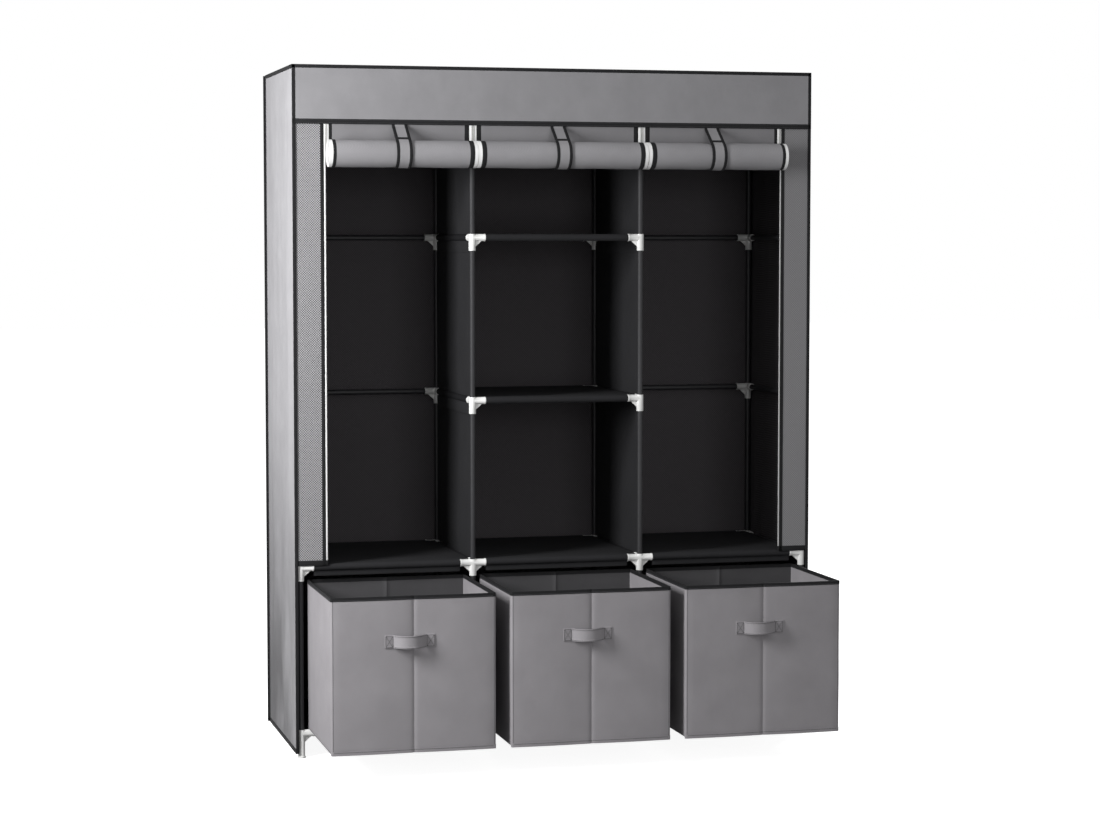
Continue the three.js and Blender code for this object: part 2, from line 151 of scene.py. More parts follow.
soft_lamp("front_lamp", (-2.07, -1.00, 1.53), aim=(-0.3, 0.0, 1.0), width=0.5, height=1.1, power=71)
soft_lamp("fill_lamp", (0.3, -6.5, 1.3), aim=(0.0, 0.0, 0.9), width=2.2, height=2.2, power=60)
soft_lamp("back_lamp", (2.7, 2.7, 2.0), aim=(0.2, 0.2, 0.8), width=1.4, height=1.4, power=110)

# Steel tubes. The frame is thin round steel tube with a smooth black coating, cut to length for each
# storey and each bay. The ends are pushed into the connectors and don't show.
tube_radius = 0.0065
tube_wall = 0.0008
tube_sides = 28
tube_joint = 0.0004
rail_seat = 0.011
soft_edge = math.radians(40)
column_names = ["left_outer", "left_inner", "right_inner", "right_outer"]
outer_columns = ["left_outer", "right_outer"]


def middle_of(name):
    return sum(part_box(name), Vector()) / 2


columns = {name: middle_of(f"front_{name}_upright").x for name in column_names}
rows = {row: middle_of(f"{row}_left_outer_upright").y for row in ("front", "rear")}
socket_radius = 0.0085
socket_drop = 0.032
bottom_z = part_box("bottom_frame")[1].z - socket_radius
top_z = middle_of("left_hanging_rod").z
shelf_levels = {n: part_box(f"level_{n}_left_inner_connector")[0].z + socket_drop for n in (1, 2, 3)}


def finish_of(name, roughness, specular):
    """A new material, its node tree, its shader and the place on the piece that patterns follow."""
    material = bpy.data.materials.new(name)
    material.use_nodes = True
    tree = material.node_tree
    shader = tree.nodes["Principled BSDF"]
    shader.inputs["Roughness"].default_value = roughness
    shader.inputs["Specular IOR Level"].default_value = specular
    return material, tree, shader, node(tree, "TexCoord").outputs["Object"]


def grain(tree, place, scale, detail=2.0):
    return given(tree, "TexNoise", {"Vector": place, "Scale": scale, "Detail": detail})


def tinted(tree, shader, colour, spread, fac):
    """The base colour, darker and lighter by a spread as the factor goes from 0 to 1."""
    dark, light = [(*[c * share for c in colour], 1) for share in (1 - spread, 1 + spread)]
    tree.links.new(given(tree, "MixRGB", [fac, dark, light]), shader.inputs["Base Color"])


def raised(tree, shader, height, depth, under=None):
    """Bumps of a depth, on top of other bumps if there are any."""
    bump = given(tree, "Bump", {"Distance": depth, "Height": height, "Normal": under})
    tree.links.new(bump, shader.inputs["Normal"])
    return bump


def coated_steel(name, colour, metal=0.0):
    material, tree, shader, place = finish_of(name, roughness=0.58, specular=0.35)
    shader.inputs["Metallic"].default_value = metal
    tinted(tree, shader, colour, 0.25, grain(tree, place, 60, 4))
    raised(tree, shader, grain(tree, place, 900), 0.00004)
    return material


black_steel = coated_steel("black_coated_steel", (0.017, 0.017, 0.019))
rod_steel = coated_steel("bare_rod_steel", (0.46, 0.46, 0.47), metal=0.85)


def choose(*pieces):
    """Selects these pieces alone, with the first one active."""
    bpy.ops.object.select_all(action="DESELECT")
    for piece in pieces:
        piece.select_set(True)
        bpy.context.view_layer.objects.active = pieces[0]


def settle(piece, name):
    """Puts the piece's place, turn and modifiers into its mesh."""
    choose(piece)
    bpy.ops.object.transform_apply()
    for modifier in list(piece.modifiers):
        bpy.ops.object.modifier_apply(modifier=modifier.name)
    bpy.ops.object.shade_smooth_by_angle(angle=soft_edge)
    piece.name = name
    piece.data.name = name
    return piece


def gathered(name, pieces):
    """Several finished pieces as one."""
    choose(*pieces)
    bpy.ops.object.join()
    return settle(pieces[0], name)


def belongs(piece, material, node_name, body="wardrobe"):
    """Gives a piece its finish, the solid that it stands for and, if one is given, its body."""
    piece.data.materials.clear()
    piece.data.materials.append(material)
    if body:
        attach(piece, body)
    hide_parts(node_name)


def steel_piece(name, tubes, node_name, material=black_steel):
    piece = gathered(name, tubes)
    belongs(piece, material, node_name)
    return piece


def walled(piece, thickness, offset=-1):
    """Gives a surface its thickness, inwards or with an offset of 0 to both sides."""
    wall = piece.modifiers.new("wall", "SOLIDIFY")
    wall.thickness = thickness
    wall.offset = offset


def cylinder(sides, radius, length, middle, turn, ends="NGON"):
    choose()
    bpy.ops.mesh.primitive_cylinder_add(
        vertices=sides, radius=radius, depth=length, location=middle, rotation=turn, end_fill_type=ends
    )
    return bpy.context.object


def facing(way):
    return way.to_track_quat("Z", "Y").to_euler()


def open_pipe(start, end, radius):
    """The bare surface of a pipe between two places."""
    start, end = Vector(start), Vector(end)
    way = end - start
    return cylinder(tube_sides, radius, way.length, (start + end) / 2, facing(way), "NOTHING")


def steel_tube(start, end, radius=tube_radius):
    tube = open_pipe(start, end, radius)
    walled(tube, tube_wall)
    return settle(tube, "tube")


def rails_across(row, height, bays=(0, 1, 2)):
    ends = list(columns.values())
    y = rows[row]
    seats = [(ends[bay] + rail_seat, ends[bay + 1] - rail_seat) for bay in bays]
    return [steel_tube((a, y, height), (b, y, height)) for a, b in seats]


def rails_in_depth(height, names=column_names):
    seats = rows["front"] + rail_seat, rows["rear"] - rail_seat
    return [steel_tube(*[(columns[name], y, height) for y in seats]) for name in names]


for row in rows:
    for name in column_names:
        upright = f"{row}_{name}_upright"
        low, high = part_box(upright)
        ends = [low.z, bottom_z, *shelf_levels.values(), high.z]
        spot = (columns[name], rows[row])
        lengths = [(a + tube_joint, b - tube_joint) for a, b in zip(ends, ends[1:])]
        steel_piece(f"{upright}_tubes", [steel_tube((*spot, a), (*spot, b)) for a, b in lengths], upright)

steel_piece("bottom_rails", rails_across("rear", bottom_z) + rails_in_depth(bottom_z), "bottom_frame")
rim_rails = rails_across("rear", top_z) + rails_across("front", top_z) + rails_in_depth(top_z)
steel_piece("top_rails", rim_rails, "top_frame")
for level, height in shelf_levels.items():
    rails = rails_across("rear", height) + rails_in_depth(height, outer_columns)
    steel_piece(f"level_{level}_rails", rails, f"level_{level}_rear_frame")

# Hanging rods. Each side bay has one thicker bare steel tube across it, half way back, and its ends
# rest in round plastic holders on the top rails.
for side in ("left", "right"):
    rod = f"{side}_hanging_rod"
    low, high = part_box(rod)
    centre = (low + high) / 2
    rod_radius = (high.z - low.z) / 2
    tube = steel_tube((low.x, centre.y, centre.z), (high.x, centre.y, centre.z), rod_radius)
    steel_piece(f"{side}_rod_tube", [tube], rod, rod_steel)

# Connectors. White plastic mouldings join the tubes at every crossing: an upright sleeve, an arm with
# a thickened lip for each rail, and a thin web under each arm that runs along the front.
arm_reach = 0.032
lip_reach = 0.0035
lip_proud = 0.0006
web_thick = 0.003
web_reach = 0.023
web_drop = 0.023
bore_radius = tube_radius + 0.0001
moulded_edge = 0.0006
cap_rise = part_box("top_frame")[1].z - top_z
foot_spread = 0.0016
foot_thick = 0.004
connector_sides = 32
ways = {"up": (0, 0, 1), "right": (1, 0, 0), "left": (-1, 0, 0), "rear": (0, 1, 0), "front": (0, -1, 0)}
turned = {
    "up": (0, 0, 0),
    "right": (0, level_view, 0),
    "left": (0, -level_view, 0),
    "rear": (-level_view, 0, 0),
    "front": (level_view, 0, 0),
}


def white_plastic(name, colour=(0.75, 0.75, 0.74)):
    material, tree, shader, place = finish_of(name, roughness=0.36, specular=0.45)
    tinted(tree, shader, colour, 0.05, grain(tree, place, 45, 3))
    raised(tree, shader, grain(tree, place, 1400), 0.00003)
    return material


connector_plastic = white_plastic("white_moulded_plastic")


def rounded(piece, width, segments=2, angle=50):
    """Rounds a piece's edges that turn by more than an angle in degrees."""
    edge = piece.modifiers.new("edge", "BEVEL")
    edge.width = width
    edge.segments = segments
    edge.angle_limit = math.radians(angle)
    return piece


def round_bar(way, radius, start, end):
    """A closed bar from the middle along a way, between two distances."""
    spot = Vector(ways[way]) * (start + end) / 2
    return cylinder(connector_sides, radius, end - start, spot, turned[way])


def block(middle, size):
    choose()
    bpy.ops.mesh.primitive_cube_add(size=1, location=middle, scale=size)
    bpy.ops.object.transform_apply()
    return bpy.context.object


def shaped_by(piece, tool, operation):
    """Joins or cuts a piece with another one, which is used up."""
    change = piece.modifiers.new("shape", "BOOLEAN")
    change.operation = operation
    change.object = tool
    change.solver = "EXACT"
    choose(piece)
    bpy.ops.object.modifier_apply(modifier=change.name)
    bpy.data.objects.remove(tool)


def pick(piece, chosen):
    """Opens a piece for editing with the points selected whose place the test holds for."""
    if bpy.context.mode != "OBJECT":
        bpy.ops.object.mode_set(mode="OBJECT")
    choose(piece)
    bpy.ops.object.mode_set(mode="EDIT")
    bpy.ops.mesh.select_mode(type="VERT")
    bpy.ops.mesh.select_all(action="DESELECT")
    bpy.ops.object.mode_set(mode="OBJECT")
    for point in piece.data.vertices:
        point.select = bool(chosen(point.co))
    bpy.ops.object.mode_set(mode="EDIT")


def web_plate(way):
    """The slanting plate under an arm, made as a block whose outer lower edge is raised."""
    side = ways[way][0]
    inner = socket_radius - lip_reach / 2
    size = Vector((web_reach - inner, web_thick, web_drop - socket_radius / 2))
    spot = (side * (web_reach + inner) / 2, 0, -(web_drop + socket_radius / 2) / 2)
    plate = block(spot, size)
    pick(plate, lambda spot: spot.z < -socket_radius and spot.x * side > (web_reach + inner) / 2)
    bpy.ops.transform.translate(value=(0, 0, web_drop - socket_radius))
    bpy.ops.object.mode_set(mode="OBJECT")
    return plate


def moulded_connector(arms, drop, rise, foot, capped):
    body = round_bar("up", socket_radius, -drop, rise)
    for arm in arms:
        shaped_by(body, round_bar(arm, socket_radius, 0, arm_reach), "UNION")
        lip = round_bar(arm, socket_radius + lip_proud, arm_reach - lip_reach, arm_reach)
        shaped_by(body, lip, "UNION")
        if arm in ("left", "right"):
            shaped_by(body, web_plate(arm), "UNION")
    if foot:
        sole = round_bar("up", socket_radius + foot_spread, -drop, foot_thick - drop)
        shaped_by(body, sole, "UNION")
    bore_from = foot_thick - drop if foot else -2 * drop
    bore_to = tube_radius if capped else 2 * rise
    shaped_by(body, round_bar("up", bore_radius, bore_from, bore_to), "DIFFERENCE")
    for arm in arms:
        bore = round_bar(arm, bore_radius, rail_seat - tube_joint, 2 * arm_reach)
        shaped_by(body, bore, "DIFFERENCE")
    return settle(rounded(body, moulded_edge), "connector")


models = {}


def connector(name, arms, spot, node_name, drop=socket_drop, rise=socket_radius, foot=False, capped=False):
    key = (tuple(sorted(arms)), drop, foot, capped)
    if key not in models:
        models[key] = moulded_connector(arms, drop, rise, foot, capped)
    piece = models[key].copy()
    piece.data = models[key].data.copy()
    piece.data.transform(Matrix.Translation(spot))
    bpy.context.scene.collection.objects.link(piece)
    piece.name = name
    belongs(piece, connector_plastic, node_name)


for index, name in enumerate(column_names):
    across = [way for way, there in (("left", index > 0), ("right", index < 3)) if there]
    for row, inward in (("front", "rear"), ("rear", "front")):
        x, y = columns[name], rows[row]
        corner = f"{row}_{name}_connector"
        arms = [*across, inward]
        connector(f"{corner}_at_bottom", arms, (x, y, bottom_z), "bottom_frame", drop=bottom_z, foot=True)
        connector(f"{corner}_at_top", arms, (x, y, top_z), "top_frame", rise=cap_rise, capped=True)
        for level, height in shelf_levels.items():
            towards = {"left_inner": ["right"], "right_inner": ["left"]}.get(name, [])
            arms = [*(across if row == "rear" or level == 1 else towards), inward]
            at_front = row == "front" and (level == 1 or name not in outer_columns)
            held = f"level_{level}_{name}_connector" if at_front else f"level_{level}_rear_frame"
            connector(f"{corner}_at_level_{level}", arms, (x, y, height), held)

rod_holder_radius = 0.0105
rod_holder_reach = 0.024
rod_row = middle_of("left_hanging_rod").y
for name, way in zip(column_names, ("right", "left", "right", "left")):
    holder = round_bar("rear", socket_radius, -arm_reach / 2, arm_reach / 2)
    shaped_by(holder, round_bar(way, rod_holder_radius, 0, rod_holder_reach), "UNION")
    shaped_by(holder, round_bar("rear", bore_radius, -arm_reach, arm_reach), "DIFFERENCE")
    socket = round_bar(way, rod_radius + tube_joint, tube_radius, 2 * rod_holder_reach)
    shaped_by(holder, socket, "DIFFERENCE")
    holder = settle(rounded(holder, moulded_edge), f"{name}_rod_holder")
    holder.data.transform(Matrix.Translation((columns[name], rod_row, top_z)))
    belongs(holder, connector_plastic, "top_frame")
for model in models.values():
    bpy.data.objects.remove(model)

# Shelves. Each is one sheet of black non-woven cloth: its front edge is a sleeve round the front rail,
# it is pulled back over the rear rail and its end hangs folded behind it. Those above the bins have
# a hem below the sleeve. The front rail shows between the sleeve and the connectors.
shelf_cloth = 0.0016
sleeve_radius = 0.0084
sleeve_wrap = math.radians(345)
sleeve_line = sleeve_radius - shelf_cloth / 2
clear_gap = 0.0003
half_bay = columns["right_inner"]
sleeve_half = half_bay - arm_reach - clear_gap
ear_half = half_bay - socket_radius - clear_gap
shelf_cell = (0.012, 0.0087)
shelf_sag = 0.005
sag_flatness = 0.7
sag_unevenness = 0.5
sag_scale = Vector((9, 9, 50))
sleeve_steps = 18
bend_steps = 6
fold_drop = 0.0065
hem_thick = 0.002
hem_drop = 0.012
hem_cell = 0.02
tape_edge = 0.0004
whisker = 0.0001
dimple_pitch = 0.0036


def lattice(tree, place, *directions):
    """Rows of dots: the product of waves along two directions."""
    lines = [node(tree, "VectorMath", [place, way], operation="DOT_PRODUCT") for way in directions]
    return calc(tree, "MULTIPLY", *[calc(tree, "SINE", line.outputs["Value"]) for line in lines])


def spun_cloth(name, colour, dimples=0.00016, creases=0.0009):
    """Non-woven cloth: pressed fibres with a lattice of small dimples, and faint creases from packing."""
    material, tree, shader, place = finish_of(name, roughness=0.88, specular=0.12)
    turns = 2 * math.pi / dimple_pitch
    dots = lattice(tree, place, (turns, turns, 0), (turns / 2, -turns / 2, turns))
    surface = calc(tree, "MULTIPLY_ADD", dots, 0.35, grain(tree, place, 800, 4))
    patches = calc(tree, "MULTIPLY", grain(tree, place, 13, 5), 0.8)
    tinted(tree, shader, colour, 0.17, calc(tree, "MULTIPLY_ADD", surface, 0.4, patches))
    soft = raised(tree, shader, grain(tree, place, 26), creases)
    raised(tree, shader, surface, dimples, under=soft)
    return material


black_cloth = spun_cloth("black_non_woven_cloth", (0.019, 0.019, 0.0205))


def extruded(x, y, z):
    bpy.ops.mesh.extrude_region_move(TRANSFORM_OT_translate={"value": (x, y, z)})


lying = {0: (level_view, 0, level_view), 1: (level_view, 0, 0), 2: (0, 0, 0)}


def cloth_grid(low, high, cell):
    """A flat net of points that fills a box's middle plane, square to its thinnest way."""
    low, high = Vector(low), Vector(high)
    size = high - low
    thin = min(range(3), key=lambda axis: size[axis])
    wide, tall = [axis for axis in range(3) if axis != thin]
    cells = cell if isinstance(cell, tuple) else (cell, cell)
    choose()
    bpy.ops.mesh.primitive_grid_add(
        x_subdivisions=max(1, round(size[wide] / cells[0])),
        y_subdivisions=max(1, round(size[tall] / cells[1])),
        size=1,
        location=(low + high) / 2,
        rotation=lying[thin],
    )
    sheet = bpy.context.object
    sheet.scale = (size[wide], size[tall], 1)
    bpy.ops.object.transform_apply()
    return sheet


def thickened(sheet, thickness, edge=0.0):
    """Gives a sheet its thickness, half to each side, and rounds its edges."""
    walled(sheet, thickness, 0)
    if edge:
        rounded(sheet, edge, angle=60)
    return sheet


def tape(low, high, cell=0.05, edge=tape_edge):
    """A flat band as thick as its box, with rounded edges."""
    low, high = Vector(low), Vector(high)
    return settle(thickened(cloth_grid(low, high, cell), min(high - low), edge), "tape")


def corners(piece):
    spots = [point.co for point in piece.data.vertices]
    return [Vector([pick_end(axis) for axis in zip(*spots)]) for pick_end in (min, max)]


def held_at_edges(spot, low, high, fade, still=0.0):
    """0 along a sheet's edges, over a still width, 1 inside, and a smooth rise between them."""
    hold = 1.0
    for axis in range(3):
        if high[axis] - low[axis] > 2 * fade[axis] > 0:
            inside = min(spot[axis] - low[axis], high[axis] - spot[axis]) - still
            share = max(0.0, min(1.0, inside / fade[axis]))
            hold *= share * share * (3 - 2 * share)
    return hold


def loose_folds(sheet, way, depth, lengths, fade, start, below=None, swell=0.0, still=0.0):
    """Soft hollows and swells in a sheet, of about the given lengths, that end before its edges.

    With a height given, they grow from nothing there towards the lower edge. A swell moves them all
    along the way, so that the sheet keeps clear of what stands behind it. The edges are still.
    """
    low, high = corners(sheet)
    way = Vector(way)
    for point in sheet.data.vertices:
        spot = point.co
        where = Vector([spot[axis] / lengths[axis] for axis in range(3)])
        wave = cloth_noise.noise(where + Vector((start, start, start))) + swell
        lower = 1 if below is None else max(0, (below - spot.z) / (below - low.z))
        point.co = spot + way * (depth * wave * lower * held_at_edges(spot, low, high, fade, still))


def folded_sheet(name, low, high, cell, folds, thickness, edge=0.0, shift=0.0):
    """A flat sheet with its folds, set off sideways by a shift."""
    sheet = cloth_grid(low, high, cell)
    for fold in folds:
        loose_folds(sheet, *fold)
    sheet.location.x = shift
    return settle(thickened(sheet, thickness, edge), name)


def faced_outwards():
    """Turns an opened piece's faces one way and closes it."""
    bpy.ops.mesh.select_all(action="SELECT")
    bpy.ops.mesh.normals_make_consistent(inside=False)
    bpy.ops.object.mode_set(mode="OBJECT")


def shelf_sheet(name, middle, height, hem):
    front, rear = rows["front"], rows["rear"]
    left, right = middle - sleeve_half, middle + sleeve_half
    lid = height + sleeve_line
    sheet = cloth_grid((left, front, lid), (right, rear, lid), shelf_cell)
    pick(sheet, lambda spot: spot.y < front + whisker)
    turn = {"center": (middle, front, height), "axis": (1, 0, 0)}
    bpy.ops.mesh.spin(steps=sleeve_steps, angle=-sleeve_wrap, **turn)
    pick(sheet, lambda spot: spot.y > rear - whisker)
    turn["center"] = (middle, rear, height)
    bpy.ops.mesh.spin(steps=bend_steps, angle=level_view, **turn)
    extruded(0, 0, -fold_drop)
    for side in (-1, 1):
        edge = side * middle + sleeve_half - whisker
        ends = front + socket_radius, rear - socket_radius
        above = height + tube_radius
        pick(sheet, lambda at: side * at.x > edge and at.z > above and ends[0] < at.y < ends[1])
        extruded(side * (ear_half - sleeve_half), 0, 0)
    faced_outwards()
    for point in sheet.data.vertices:
        across = (point.co.x - middle) / ear_half
        back = (point.co.y - front) / (rear - front)
        if 0 < back < 1 and point.co.z > height + tube_radius:
            give = (1 - sag_flatness * across * across) * math.sin(math.pi * back)
            where = Vector((point.co.x, point.co.y, height)) * sag_scale
            point.co.z -= shelf_sag * give * (1 + sag_unevenness * cloth_noise.noise(where))
    parts = [settle(thickened(sheet, shelf_cloth), name)]
    if hem:
        low = (left, front - hem_thick / 2, height - sleeve_radius - hem_drop)
        high = (right, front + hem_thick / 2, height - tube_radius)
        parts.append(tape(low, high, hem_cell))
    return gathered(name, parts)


storeys = {"bottom_shelf": bottom_z} | {f"shelf_level_{n}": height for n, height in shelf_levels.items()}
bays = {"left": 0, "middle": 1, "right": 2}
for bay, number in bays.items():
    middle = (number - 1) * 2 * half_bay
    for storey, height in list(storeys.items())[: 4 if bay == "middle" else 2]:
        shelf = f"{bay}_{storey}"
        rail = steel_piece(f"{shelf}_front_rail", rails_across("front", height, [number]), shelf)
        sheet = shelf_sheet(f"{shelf}_cloth", middle, height, storey == "shelf_level_1")
        belongs(sheet, black_cloth, shelf)

# Divider panels. A black sheet stands both sides of the middle bay from the first level to the top.
# At each level a sewn sleeve across it holds a rail, and it is cut away round the connectors.
divider_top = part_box("left_divider_panel")[1].z
divider_cell = 0.013
divider_clear = 0.0094
divider_wave = 0.006
cut_edge = 0.0003
divider_hem = 0.029
divider_hem_thick = 0.0034
divider_hem_edge = 0.0005
divider_cloth = spun_cloth("black_divider_cloth", (0.019, 0.019, 0.0205))
# The sleeves are the panels' own cloth, set darker as painted shade round the rails.
shaded_sleeve_cloth = spun_cloth("painted_shade_sleeve_cloth", (0.009, 0.009, 0.010))
sleeve_front = rows["front"] + arm_reach + clear_gap
sleeve_rear = rows["rear"] - arm_reach - clear_gap
panel_front = rows["front"] + socket_radius + clear_gap
panel_rear = rows["rear"] - socket_radius - clear_gap


def cloth_sleeve(x, height):
    sleeve = open_pipe((x, sleeve_front, height), (x, sleeve_rear, height), sleeve_line)
    return settle(thickened(sleeve, shelf_cloth, cut_edge), "sleeve")


def divider_storey(x, start, end, below_a_rail):
    """The panel between two levels. It is longer between the connectors, where it joins the sleeves."""
    low = (x - whisker, panel_front, start + divider_clear)
    high = (x + whisker, panel_rear, end - (divider_clear if below_a_rail else 0))
    panel = cloth_grid(low, high, divider_cell)
    for point in panel.data.vertices:
        if sleeve_front < point.co.y < sleeve_rear:
            if point.co.z < low[2] + whisker:
                point.co.z -= divider_clear - sleeve_line
            elif below_a_rail and point.co.z > high[2] - whisker:
                point.co.z += divider_clear - sleeve_line
    loose_folds(panel, (1, 0, 0), divider_wave, (1, 0.21, 0.34), (0, 0.05, 0.05), start * 7 + x)
    return settle(thickened(panel, shelf_cloth, cut_edge), "panel")


for side in ("left", "right"):
    x = columns[f"{side}_inner"]
    node_name = f"{side}_divider_panel"
    heights = list(shelf_levels.values())
    rails = [pipe for height in heights for pipe in rails_in_depth(height, [f"{side}_inner"])]
    rails = steel_piece(f"{side}_divider_rails", rails, node_name)
    sleeves = gathered(f"{side}_divider_sleeves", [cloth_sleeve(x, height) for height in heights])
    belongs(sleeves, shaded_sleeve_cloth, node_name)
    parts = []
    half = divider_hem_thick / 2
    for top in [height - sleeve_line for height in heights[1:]]:
        ends = (x - half, sleeve_front, top - divider_hem), (x + half, sleeve_rear, top)
        parts.append(tape(*ends, hem_cell, divider_hem_edge))
    for start, end in zip(heights, heights[1:] + [divider_top]):
        parts.append(divider_storey(x, start, end, below_a_rail=end in heights))
    panel = gathered(f"{side}_divider_cloth", parts)
    belongs(panel, divider_cloth, node_name)

# Cover. Flat panels of grey non-woven cloth, sewn edge to edge under black binding tape: the top, two
# sides, a black back and the header flap over the front. The sides hang in long soft folds.
panel_cell = 0.012
side_cell = 0.009
cover_thick = 0.001
lining_gap = 0.0009
lining_thick = 0.0006
side_crumple = 0.75
sides = {"left": 1, "right": -1}
back_swell = 0.7
tape_width = 0.008
rear_tape = 0.016
low_tape = 0.012
front_lap = 0.001
corner_lap = 0.0012
rear_seam = 0.0048
rear_seam_thick = 0.0020
header_band = 0.0117
header_seams = (0.24, 0.76)
tape_proud = 0.0006
tape_under = 0.0002
stitch_pitch = 0.0042
stitch_long = 0.0030
stitch_radius = 0.00035
thread_sides = 6
cover_cloth = spun_cloth("grey_cover_cloth", (0.236, 0.233, 0.243))
# The sides are the cover's grey cloth; their colour is set paler as painted light, for the light that
# falls on the left side.
side_cloth = spun_cloth("side_cloth_painted_light", (0.306, 0.302, 0.314), creases=0.0016)
tape_cloth = spun_cloth("black_binding_tape", (0.0150, 0.0150, 0.0160), dimples=0.00005, creases=0.0002)


def dotted_cloth(name, colour, spread, pitch):
    """Thin cloth pressed with a slanting lattice of dots that is plain to see."""
    material, tree, shader, place = finish_of(name, roughness=0.85, specular=0.12)
    turns = 2 * math.pi / pitch
    dots = calc(tree, "MULTIPLY_ADD", lattice(tree, place, (turns, 0, 0), (0, 0, turns)), 0.7, 0.2)
    surface = calc(tree, "MULTIPLY_ADD", grain(tree, place, 500, 3), 0.5, dots)
    tinted(tree, shader, colour, spread, surface)
    raised(tree, shader, surface, 0.0002)
    return material


back_cloth = dotted_cloth("black_dotted_cloth", (0.078, 0.073, 0.078), spread=0.22, pitch=0.006)


def along(tree, place, axis, start, end):
    """0 before a place along an axis, 1 behind another, and straight between them."""
    there = node(tree, "SeparateXYZ", [place]).outputs[axis]
    return given(tree, "MapRange", {"Value": there, "From Min": start, "From Max": end})


def darkened(tree, fac, shade):
    """Multiplies a material's base colour with a shade, by a factor."""
    base = tree.nodes["Principled BSDF"].inputs["Base Color"]
    colours = [fac, base.links[0].from_socket, grey(shade)]
    tree.links.new(given(tree, "MixRGB", colours, blend_type="MULTIPLY"), base)


def painted_shade_below(material, height, shade):
    """Painted shade: darkens a cloth in patches towards the floor and the rear, where the sides lie in
    shadow and their creases are shaded.
    """
    tree = material.node_tree
    place = node(tree, "TexCoord").outputs["Object"]
    low = along(tree, place, "Z", height, height / 4)
    far = along(tree, place, "Y", rows["front"], rows["rear"])
    shadow_patches = grain(tree, given(tree, "Mapping", {"Vector": place, "Scale": (1, 9, 4)}), 1, 4)
    shade_amount = calc(tree, "MULTIPLY_ADD", shadow_patches, 1.9, calc(tree, "MULTIPLY_ADD", far, 0.6, -0.50))
    darkened(tree, calc(tree, "MULTIPLY", low, given(tree, "Clamp", [shade_amount])), shade)


# Painted shade: the sides' cloth darkens in patches towards the floor and the rear.
painted_shade_below(side_cloth, height=0.80, shade=0.44)


def stitching(name, colour):
    material, tree, shader, place = finish_of(name, roughness=0.7, specular=0.2)
    tinted(tree, shader, colour, 0.3, grain(tree, place, 1800))
    raised(tree, shader, grain(tree, place, 2500), 0.0001)
    return material


black_thread = stitching("black_thread", (0.055, 0.055, 0.060))
grey_thread = stitching("dark_grey_thread", (0.060, 0.060, 0.064))


def in_a_row(piece, count, step):
    """Repeats a piece by equal steps."""
    row = piece.modifiers.new("row", "ARRAY")
    row.count = count
    row.use_relative_offset = False
    row.use_constant_offset = True
    row.constant_offset_displace = step
    return piece


def stitch_row(start, end, radius=stitch_radius):
    """A straight row of short threads that lie on the cloth."""
    start, end = Vector(start), Vector(end)
    count = max(1, round((end - start).length / stitch_pitch))
    step = (end - start) / count
    thread = cylinder(thread_sides, radius, stitch_long, start + step / 2, facing(step))
    bpy.ops.object.transform_apply()
    return settle(in_a_row(thread, count, step), "stitches")


def hung_sheet(sheet, material, node_name):
    """Gives a sheet of the cover, which hangs from the top frame, its finish and the solid that it stands
    for.
    """
    belongs(sheet, material, node_name)


def sewn_panel(name, node_name, material, folds, cell=panel_cell):
    sheet = folded_sheet(name, *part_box(node_name), cell, folds, cover_thick)
    hung_sheet(sheet, material, node_name)


def bound(name, node_name, boxes, seams=()):
    """The black tapes along a panel's edges, with their stitching."""
    tapes = gathered(name, [tape(*box) for box in boxes])
    belongs(tapes, tape_cloth, node_name)
    if seams:
        threads = gathered(f"{name}_stitching", [stitch_row(*seam) for seam in seams])
        belongs(threads, black_thread, node_name)
    return tapes


box_edges = ["left", "right", "front", "rear", "bottom", "top"]


def edge_boxes(low, high, **widths):
    """The boxes of the tapes along a box's edges, by the edges' names and the tapes' widths."""
    boxes = []
    for edge, width in widths.items():
        axis, at_the_far_end = divmod(box_edges.index(edge), 2)
        ends = Vector(low), Vector(high)
        if at_the_far_end:
            ends[0][axis] = high[axis] - width
        else:
            ends[1][axis] = low[axis] + width
        boxes.append(ends)
    return boxes


def box_between(a, b, low, high):
    """A box's part between two places across it, in either order."""
    return (min(a, b), *low[1:]), (max(a, b), *high[1:])


back_folds = [
    ((0, 1, 0), 0.0080, (0.30, 1, 1.1), (0.06, 0, 0.06), 3.0, None, back_swell, tape_width),
    ((0, 1, 0), 0.0040, (0.07, 1, 0.5), (0.05, 0, 0.06), 5.5, None, back_swell, tape_width),
]
sewn_panel("back_panel_cloth", "cover_back", back_cloth, back_folds)
top_folds = [((0, 0, -1), 0.003, (0.30, 0.25, 1), (0.05, 0.05, 0), 8.0)]
sewn_panel("top_panel_cloth", "cover_top", cover_cloth, top_folds)
for (side, inward), seed in zip(sides.items(), (1.3, 5.1)):
    side_folds = [
        ((1, 0, 0), 0.0045, (1, 0.12, 1.1), (0, 0.05, 0.05), seed, None, 0, rear_tape),
        ((1, 0, 0), 0.0020, (1, 0.035, 0.20), (0, 0.03, 0.06), seed + 2, None, 0, rear_tape),
        ((1, 0, 0), 0.0120, (1, 0.060, 0.30), (0, 0.04, 0.05), seed + 4, side_crumple, 0, rear_tape),
    ]
    node_name = f"cover_{side}_side"
    sewn_panel(f"{side}_side_cloth", node_name, side_cloth, side_folds, side_cell)
    low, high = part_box(node_name)
    inner = (low + Vector((0, clear_gap, 0)), high, side_cell, side_folds)
    shift = inward * (cover_thick / 2 + lining_gap)
    lining = folded_sheet(f"{side}_side_lining", *inner, lining_thick, shift=shift)
    hung_sheet(lining, back_cloth, node_name)
header_folds = [((0, 1, 0), 0.0016, (0.22, 1, 0.09), (0.04, 0, 0.03), 2.2)]
sewn_panel("header_flap_cloth", "cover_header_flap", cover_cloth, header_folds)

